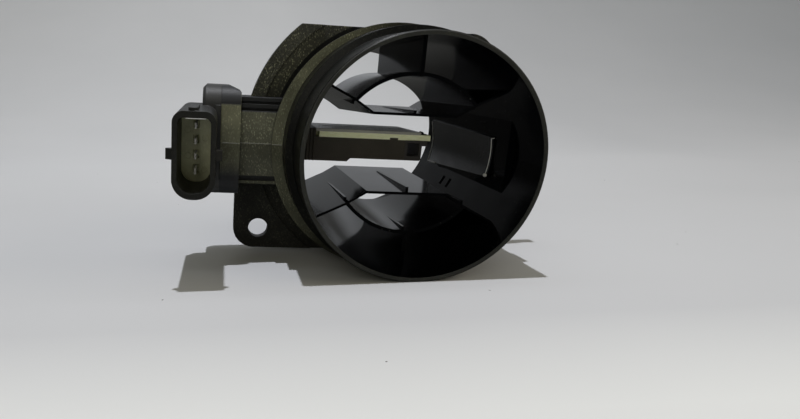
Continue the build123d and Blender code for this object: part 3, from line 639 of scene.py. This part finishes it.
def screw_mesh(name, low, high):
    """A screw along +X in the box of its solid, its head at the low end."""
    middle_y, middle_z = (low.y + high.y) / 2, (low.z + high.z) / 2
    head_r, length = (high.z - low.z) / 2, high.x - low.x
    head_t, shank_r, pitch = 2.3 * MM, 1.75 * MM, 1.3 * MM
    sections = [
        (lambda a: 0.5 * lobes(a), 1.3 * MM),
        (lambda a: 0.95 * lobes(a), 1.25 * MM),
        (lambda a: lobes(a), 0.2 * MM),
        (lambda a: 1.08 * lobes(a), 0.04 * MM),
        (lambda a: 0.72 * head_r, 0.0),
        (lambda a: 0.9 * head_r, 0.22 * MM),
        (lambda a: head_r, 0.75 * MM),
        (lambda a: head_r, head_t - 0.2 * MM),
        (lambda a: head_r - 0.2 * MM, head_t),
        (lambda a: shank_r, head_t),
    ]
    steps = 56
    for k in range(steps):
        depth = head_t + (length - head_t) * (k + 1) / (steps + 1)
        taper = min(1.0, 0.55 + (length - depth) / (2.4 * MM))

        def crest(angle, depth=depth, taper=taper):
            wave = cos(depth / pitch * radians(360) - angle)
            return shank_r * taper * (0.8 + 0.2 * max(0.0, wave) ** 2)

        sections.append((crest, depth))
    sections.append((lambda a: 0.4 * shank_r, length))
    turns = [radians(360 * k / 48) for k in range(48)]
    rings = []
    for radius, depth in sections:
        ring = [(radius(a) * cos(a), radius(a) * sin(a)) for a in turns]
        rings.append([(low.x + depth, middle_y + y, middle_z + z) for y, z in ring])
    return skin(name, rings)


for side in ("upper", "lower"):
    name = f"module_screw_{side}"
    screw = add_piece(f"six_lobe_screw_{side}", screw_mesh(name, *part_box(name)), zinc, angle=30)
    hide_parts(name)

# %% [markdown]
# ## Geometry trees
# A geometry tree is built like a shader tree, and takes its sizes as named inputs. It runs once on a small
# guide mesh, and the result is kept as a plain mesh, so nothing stays live on the finished piece.


# %% Write the tree helpers
def geometry_tree(name, inputs):
    tree = bpy.data.node_groups.new(name, "GeometryNodeTree")
    tree.interface.new_socket("Geometry", in_out="INPUT", socket_type="NodeSocketGeometry")
    for socket_name, kind, default in inputs:
        socket = tree.interface.new_socket(socket_name, in_out="INPUT", socket_type=kind)
        if default is not None:
            socket.default_value = default
    tree.interface.new_socket("Geometry", in_out="OUTPUT", socket_type="NodeSocketGeometry")
    start = tree.nodes.new("NodeGroupInput").outputs
    return tree, start, tree.nodes.new("NodeGroupOutput").inputs


def end_tree(tree, geometry, t_in, t_out):
    """Makes instances real and gives the result the tree's finish."""
    solid = add_node(tree, "GeometryNodeRealizeInstances", {"Geometry": geometry})
    painted = add_node(
        tree, "GeometryNodeSetMaterial", {"Geometry": solid.outputs[0], "Material": t_in["Finish"]}
    )
    tree.links.new(painted.outputs[0], t_out[0])


def run_tree(name, tree, guide, values):
    """Runs the tree on a guide mesh and returns the result as a plain mesh."""
    holder = bpy.data.objects.new(name + "_guide", guide)
    bpy.context.scene.collection.objects.link(holder)
    modifier = holder.modifiers.new("tree", "NODES")
    modifier.node_group = tree
    for item in tree.interface.items_tree:
        if item.in_out == "INPUT" and item.name in values:
            modifier[item.identifier] = values[item.name]
    bpy.context.view_layer.update()
    grown = holder.evaluated_get(bpy.context.evaluated_depsgraph_get())
    mesh = bpy.data.meshes.new_from_object(grown)
    bpy.data.objects.remove(holder)
    mesh.name = name
    return mesh


def guide_mesh(name, points, edges=()):
    mesh = bpy.data.meshes.new(name)
    mesh.from_pydata(points, edges, [])
    return mesh


# %% [markdown]
# Ejector pins leave a shallow ring where each one pushed the moulding out. The tree sweeps a thin ridge
# round a circle and puts it on every point of its guide, turned to face along Y.

# %% Build the tree of pin marks
pin_tree, t_in, t_out = geometry_tree(
    "pin_marks",
    (
        ("Mark Radius", FLOAT, 1.5 * MM),
        ("Ridge", FLOAT, 0.09 * MM),
        ("Seed", "NodeSocketInt", 3),
        ("Finish", "NodeSocketMaterial", None),
    ),
)
circle, thin = (
    add_node(pin_tree, "GeometryNodeCurvePrimitiveCircle", {"Resolution": count, "Radius": t_in[size]})
    for count, size in ((28, "Mark Radius"), (8, "Ridge"))
)
profile = {"Curve": circle.outputs[0], "Profile Curve": thin.outputs[0]}
ridge = add_node(pin_tree, "GeometryNodeCurveToMesh", profile)
size = add_node(
    pin_tree, "FunctionNodeRandomValue", {2: 0.85, 3: 1.1, "Seed": t_in["Seed"]}, data_type="FLOAT"
)
spread = add_node(
    pin_tree,
    "GeometryNodeInstanceOnPoints",
    {
        "Points": t_in["Geometry"],
        "Instance": ridge.outputs[0],
        "Rotation": (radians(90), 0.0, 0.0),
        "Scale": size.outputs[1],
    },
)
end_tree(pin_tree, spread.outputs[0], t_in, t_out)
print("pin tree nodes", len(pin_tree.nodes))

# %% Put pin marks on the flange's back and the connector's floor
pin_circle_r = 47.6 * MM
turns = [radians(a) for a in (-50, -30, -10, 6, 38, 50, 126, 140, -126, -140)]
back_marks = [(pin_circle_r * cos(a), 0.0, pin_circle_r * sin(a)) for a in turns]
floor_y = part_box("terminal_carrier")[0].y
beside_contacts = ((-2.9, 5.2), (2.7, -8.0), (-2.7, -3.4), (2.9, 2.6))
floor_marks = [(shell_x + dx * MM, floor_y, dz * MM) for dx, dz in beside_contacts]
for name, points, radius, finish, slot in (
    ("flange_pin_marks", back_marks, 1.5 * MM, flange, "mounting_flange"),
    ("connector_pin_marks", floor_marks, 0.95 * MM, carrier_painted_light, "terminal_carrier"),
):
    values = {"Mark Radius": radius, "Ridge": 0.08 * MM, "Seed": 3, "Finish": finish}
    add_piece(name, run_tree(name, pin_tree, guide_mesh(name, points), values), finish, angle=180)

# %% [markdown]
# Flash is the thread of plastic that creeps into a mould's joint. The tree turns a line of edges into a
# thin uneven strand with a bead at its start. Most of its lines are found on the solids: rays start from a
# row of points, and each hit on the surface is a point of the line.

# %% Build the tree of flash
flash_tree, t_in, t_out = geometry_tree(
    "flash_line",
    (
        ("Thickness", FLOAT, 0.1 * MM),
        ("Unevenness", FLOAT, 0.5),
        ("Bead Radius", FLOAT, 0.02 * MM),
        ("Seed", "NodeSocketInt", 1),
        ("Finish", "NodeSocketMaterial", None),
    ),
)
line = add_node(flash_tree, "GeometryNodeMeshToCurve", {"Mesh": t_in["Geometry"]})
even = add_node(flash_tree, "GeometryNodeResampleCurve", {"Curve": line.outputs[0], "Count": 90})
least = math(flash_tree, "SUBTRACT", 1.0, t_in["Unevenness"])
width = add_node(
    flash_tree, "FunctionNodeRandomValue", {2: least, 3: 1.0, "Seed": t_in["Seed"]}, data_type="FLOAT"
)
wavy = add_node(
    flash_tree, "GeometryNodeSetCurveRadius", {"Curve": even.outputs[0], "Radius": width.outputs[1]}
)
thread = add_node(
    flash_tree, "GeometryNodeCurvePrimitiveCircle", {"Resolution": 8, "Radius": t_in["Thickness"]}
)
strand = add_node(
    flash_tree,
    "GeometryNodeCurveToMesh",
    {"Curve": wavy.outputs[0], "Profile Curve": thread.outputs[0], "Fill Caps": True},
)
ends = add_node(flash_tree, "GeometryNodeCurveEndpointSelection", {"Start Size": 1, "End Size": 0})
ball = add_node(flash_tree, "GeometryNodeMeshIcoSphere", {"Radius": t_in["Bead Radius"], "Subdivisions": 2})
beads = add_node(
    flash_tree,
    "GeometryNodeInstanceOnPoints",
    {"Points": wavy.outputs[0], "Selection": ends.outputs[0], "Instance": ball.outputs[0]},
)
joined = add_node(flash_tree, "GeometryNodeJoinGeometry")
for part in (beads, strand):
    flash_tree.links.new(part.outputs[0], joined.inputs[0])
end_tree(flash_tree, joined.outputs[0], t_in, t_out)
print("flash tree nodes", len(flash_tree.nodes))


# %% Find the lines on the solids
def surface_of(*names):
    points, faces = [], []
    for name in names:
        mesh = nodes[name].data
        shift = len(points)
        points += [vertex.co.copy() for vertex in mesh.vertices]
        faces += [tuple(shift + k for k in polygon.vertices) for polygon in mesh.polygons]
    return BVHTree.FromPolygons(points, faces)


def trace(surface, starts, direction, lift, jump=1.2 * MM):
    """Runs of hits, lifted off the surface. A ray that misses or a step in the surface ends a run."""
    runs, run = [], []
    for start in starts:
        hit = surface.ray_cast(Vector(start), Vector(direction))[0]
        if hit is None or (run and (hit - run[-1]).length > jump):
            runs.append(run)
            run = []
        if hit is not None:
            run.append(hit - lift * Vector(direction))
    runs.append(run)
    return [r for r in runs if len(r) > 2]


def row(start, end, count):
    """Evenly spaced points, with both ends given in millimetres."""
    a, b = Vector(start) * MM, Vector(end) * MM
    return [a.lerp(b, k / (count - 1)) for k in range(count)]


def flash_piece(name, runs, thickness, finish, seed, bead=0.02 * MM):
    points = [tuple(point) for run in runs for point in run]
    edges, first = [], 0
    for run in runs:
        edges += [(first + k, first + k + 1) for k in range(len(run) - 1)]
        first += len(run)
    guide_line = guide_mesh(name, points, edges)
    values = {"Thickness": thickness, "Unevenness": 0.5, "Bead Radius": bead, "Seed": seed, "Finish": finish}
    return add_piece(name, run_tree(name, flash_tree, guide_line, values), finish, 180)


off_surface = 0.02 * MM
# painted glint: the parting flash is paler than the nylon round it, so it shows as a bright line
flash_nylon_painted_glint = nylon_material("flash_nylon_painted_glint", (0.3, 0.3, 0.25), OLIVE_FLECK, 0.4, 2100.0, 0.3, 0.35, 0.3)
# painted highlight: strands made near white to show as glints
flash_painted_highlight = nylon_material("flash_painted_highlight", (0.8, 0.8, 0.78), (0.8, 0.8, 0.78), 0.5, 2100.0, 0.3, 0.3, 0.3)
front_skin = surface_of("sensor_neck", "duct_housing")
level = row((-64.0, -90.0, 0.2), (-42.75, -90.0, 0.2), 86)
parting = trace(front_skin, level, (0, 1, 0), off_surface)
flash_piece("parting_flash", parting, 0.1 * MM, flash_nylon_painted_glint, 1)

wall_skin = surface_of("duct_housing")
pad_front = row((20.0, -17.3, -8.6), (20.0, -17.3, 5.5), 48)
pad_foot = row((15.0, 28.5, -11.1), (15.0, 36.1, -11.48), 20)
pad_back = pad_foot + row((15.0, 37.1, -11.4), (15.0, 40.5, 6.6), 61)
# the pad's flash strands are painted near white, as a glint along its edges
for name, starts, seed, width, bead in (
    ("pad_front_flash_painted_glint", pad_front, 2, 0.15 * MM, 0.75 * MM),
    ("pad_back_flash_painted_glint", pad_back, 5, 0.3 * MM, 0.05 * MM),
):
    runs = trace(wall_skin, starts, (1, 0, 0), off_surface)
    flash_piece(name, runs, width, flash_painted_highlight, seed, bead)

# a painted glint: a near-white strand along the top of the connector's mouth
mouth_x, mouth_y = shell_x / MM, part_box("module_housing")[0].y / MM + 0.5
lip = row((mouth_x - 2.6, mouth_y, 10.5), (mouth_x + 3.4, mouth_y, 10.5), 13)
flash_piece("mouth_painted_glint", [lip], 0.2 * MM, flash_painted_highlight, 7)

# %% [markdown]
# ## Floor, backdrop and light
# The part lies rolled a few degrees towards the sensor, so the sheet under it falls to the left. The sheet
# meets the spigot's rim and the rear seal, while the barrel and the flange between them dip about 2 mm into
# it, and behind the part it bends up into a wall. One small high lamp over the spigot throws a short crisp
# shadow, a window and a side lamp open it up, and a long lamp lights the wall.

# %% Make the sweep
roll = 0.058
floor_front = Vector((0, rim_y, -spigot_r + 0.2 * MM))
floor_slope = (seal_low.z - floor_front.z) / (seal_low.y - floor_front.y)


def floor_z(x, y):
    return floor_front.z + floor_slope * (y - floor_front.y) + roll * x


def sweep():
    """One sheet: a flat floor, a quarter-round and a wall, as a strip of faces along Y."""
    half_width, near_y, bend_y, bend_r, wall = 2.2, -1.6, 0.35, 1.3, 0.6
    line = [(near_y, 0.0), (bend_y, 0.0)]
    for k in range(1, 25):
        turn = radians(90 * k / 24)
        line.append((bend_y + bend_r * sin(turn), bend_r * (1 - cos(turn))))
    line.append((line[-1][0], line[-1][1] + wall))
    edges = (-half_width, half_width)
    points = [(x, y, floor_z(x, min(y, bend_y)) + rise) for y, rise in line for x in edges]
    faces = [(2 * k, 2 * k + 1, 2 * k + 3, 2 * k + 2) for k in range(len(line) - 1)]
    mesh = bpy.data.meshes.new("sweep")
    mesh.from_pydata(points, [], faces)
    mesh.shade_smooth()
    sheet = bpy.data.objects.new("sweep", mesh)
    bpy.context.scene.collection.objects.link(sheet)
    return sheet


backdrop = sweep()
print("floor slope", round(floor_slope, 4))

# %% [markdown]
# Light and shade are painted into the paper: it is paler in front of the part than round it, and darker to
# the right. In reflections it is made darker than it is, above all the floor.


# %% Make the paper
def paper_material():
    material, tree, shader = start_material("backdrop_paper")
    x, y, z = split_place(tree)
    fibres = noise(tree, object_place(tree), 6.0, 8.0)
    tone = blend_colour(tree, fibres, (0.7, 0.71, 0.73), (0.76, 0.765, 0.785))
    # painted shade round the part and to the right, painted light in front of it, and plain far behind it
    painted_light_and_shade = blend_colour(tree, ramp(tree, y, -0.078, -0.126), (0.885, 0.885, 0.885), (1.16, 1.16, 1.12))
    painted_light_and_shade = blend_colour(tree, ramp(tree, y, 0.1, 0.3), painted_light_and_shade, (1.0, 1.0, 1.0))
    painted_light_and_shade = blend_colour(tree, ramp(tree, x, 0.05, 0.4, 0.0, 0.22), painted_light_and_shade, (0.2, 0.21, 0.23))
    tone = blend_colour(tree, 1.0, tone, painted_light_and_shade, mode="MULTIPLY")
    # the floor and the wall as reflections see them
    mirrored = blend_colour(tree, ramp(tree, z, -0.02, 0.12), (0.06, 0.06, 0.055), (0.62, 0.64, 0.68))
    path = tree.nodes.new("ShaderNodeLightPath")
    tone = blend_colour(tree, path.outputs["Is Glossy Ray"], tone, mirrored)
    tree.links.new(tone, shader.inputs["Base Color"])
    shader.inputs["Roughness"].default_value = 0.7
    return material


backdrop.data.materials.append(paper_material())

# %% [markdown]
# A used sheet has crumbs and lint on it. A last tree scatters small flattened grains over the floor near
# the part, each with its own size and turn.

# %% Scatter the crumbs
crumb_tree, t_in, t_out = geometry_tree(
    "crumbs",
    (
        ("Density", FLOAT, 120.0),
        ("Grain Radius", FLOAT, 0.4 * MM),
        ("Seed", "NodeSocketInt", 11),
        ("Finish", "NodeSocketMaterial", None),
    ),
)
dots = add_node(
    crumb_tree,
    "GeometryNodeDistributePointsOnFaces",
    {"Mesh": t_in["Geometry"], "Density": t_in["Density"], "Seed": t_in["Seed"]},
)
grain = add_node(crumb_tree, "GeometryNodeMeshIcoSphere", {"Radius": t_in["Grain Radius"], "Subdivisions": 2})
random_size = add_node(
    crumb_tree,
    "FunctionNodeRandomValue",
    {0: (0.3, 0.3, 0.1), 1: (1.6, 1.1, 0.4), "Seed": t_in["Seed"]},
    data_type="FLOAT_VECTOR",
)
random_turn = add_node(
    crumb_tree,
    "FunctionNodeRandomValue",
    {0: (0.0, 0.0, 0.0), 1: (0.2, 0.2, 6.28), "Seed": t_in["Seed"]},
    data_type="FLOAT_VECTOR",
)
strewn = add_node(
    crumb_tree,
    "GeometryNodeInstanceOnPoints",
    {
        "Points": dots.outputs[0],
        "Instance": grain.outputs[0],
        "Rotation": random_turn.outputs[0],
        "Scale": random_size.outputs[0],
    },
)
end_tree(crumb_tree, strewn.outputs[0], t_in, t_out)
left, right, front, back = -0.3, 0.45, -0.17, 0.25
corners = [(x, y, floor_z(x, y)) for x, y in ((left, front), (right, front), (right, back), (left, back))]
patch = bpy.data.meshes.new("crumb_patch")
patch.from_pydata(corners, [], [(0, 1, 2, 3)])
lint = nylon_material("lint", (0.2, 0.195, 0.19), (0.4, 0.4, 0.4), 0.5, 900.0, 0.3, 0.8, 0.3)
values = {"Density": 120.0, "Grain Radius": 0.4 * MM, "Seed": 11, "Finish": lint}
crumbs = bpy.data.objects.new("crumbs", run_tree("crumbs", crumb_tree, patch, values))
bpy.context.scene.collection.objects.link(crumbs)
print("crumb faces", len(crumbs.data.polygons))


# %% Set the lamps and the world
def lamp(name, watts, place, target, size, tint):
    light = bpy.data.lights.new(name, "AREA")
    light.energy = watts
    light.color = tint
    light.shape = "RECTANGLE"
    light.size, light.size_y = size
    holder = bpy.data.objects.new(name, light)
    holder.location = place
    holder.rotation_euler = (Vector(target) - Vector(place)).to_track_quat("-Z", "Y").to_euler()
    bpy.context.scene.collection.objects.link(holder)


lamp("high_lamp", 8.1, (-0.15, rim_y, 1.16), (-0.02, rim_y, -0.04), (0.02, 0.02), (0.965, 0.98, 1.03))
lamp("backdrop_lamp", 9.4, (0.55, 0.1, 1.2), (0.6, 1.6, 0.5), (3.2, 0.5), (0.955, 0.975, 1.02))
lamp("window", 1.45, (-0.45, -0.85, 0.5), (-0.03, -0.05, 0), (0.7, 0.7), (1.0, 0.97, 0.86))
lamp("side_lamp", 1.8, (0.75, -0.25, 0.45), (0, 0, -0.04), (0.6, 0.5), (1.0, 0.9, 0.74))
world = bpy.data.worlds.new("room")
bpy.context.scene.world = world
world.use_nodes = True
room = world.node_tree
path = room.nodes.new("ShaderNodeLightPath")
# the room as it lights the part, as the part's gloss mirrors it, and as the camera sees it
lit, mirrored, seen = (0.07, 0.066, 0.036), (0.035, 0.037, 0.04), (0.45, 0.46, 0.47)
air = blend_colour(room, path.outputs["Is Glossy Ray"], lit, mirrored)
air = blend_colour(room, path.outputs["Is Camera Ray"], air, seen)
room.links.new(air, room.nodes["Background"].inputs["Color"])
bpy.context.scene.view_settings.view_transform = "Standard"
